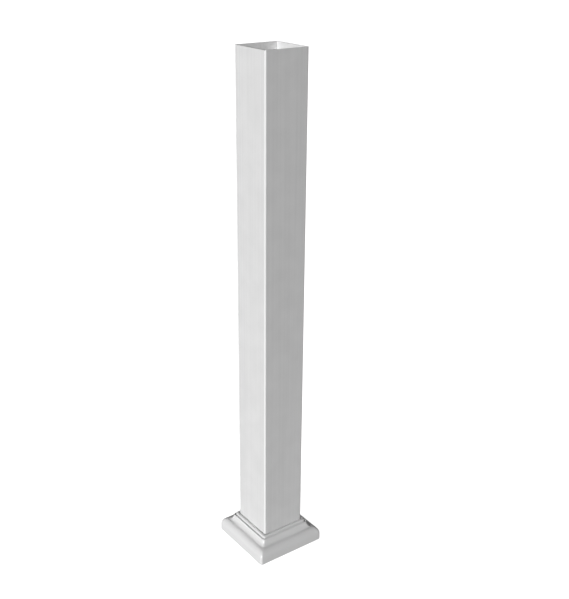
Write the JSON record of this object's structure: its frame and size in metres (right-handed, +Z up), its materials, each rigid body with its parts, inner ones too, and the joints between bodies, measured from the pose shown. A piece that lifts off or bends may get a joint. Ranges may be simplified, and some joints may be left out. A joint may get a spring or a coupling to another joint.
{
  "type": "newel post",
  "caption": "Square hollow railing newel post sleeve in white PVC, open at both ends, with a moulded base trim of collar, cavetto, ovolo and plinth round its foot.",
  "frame": {"origin": "centre of the square footprint, on the deck that the sleeve and the trim stand on", "axes": "+Z up along the post; X and Y are square to the post's four faces"},
  "size_m": [0.1684, 0.1684, 1.1176],
  "materials": {
    "sleeve_pvc": "white PVC, satin extruded face with faint draw lines",
    "trim_pvc": "white PVC, low-gloss injection moulding"
  },
  "bodies": {
    "root": {"post_sleeve": "sleeve_pvc", "base_trim": "trim_pvc"}
  },
  "joints": []
}
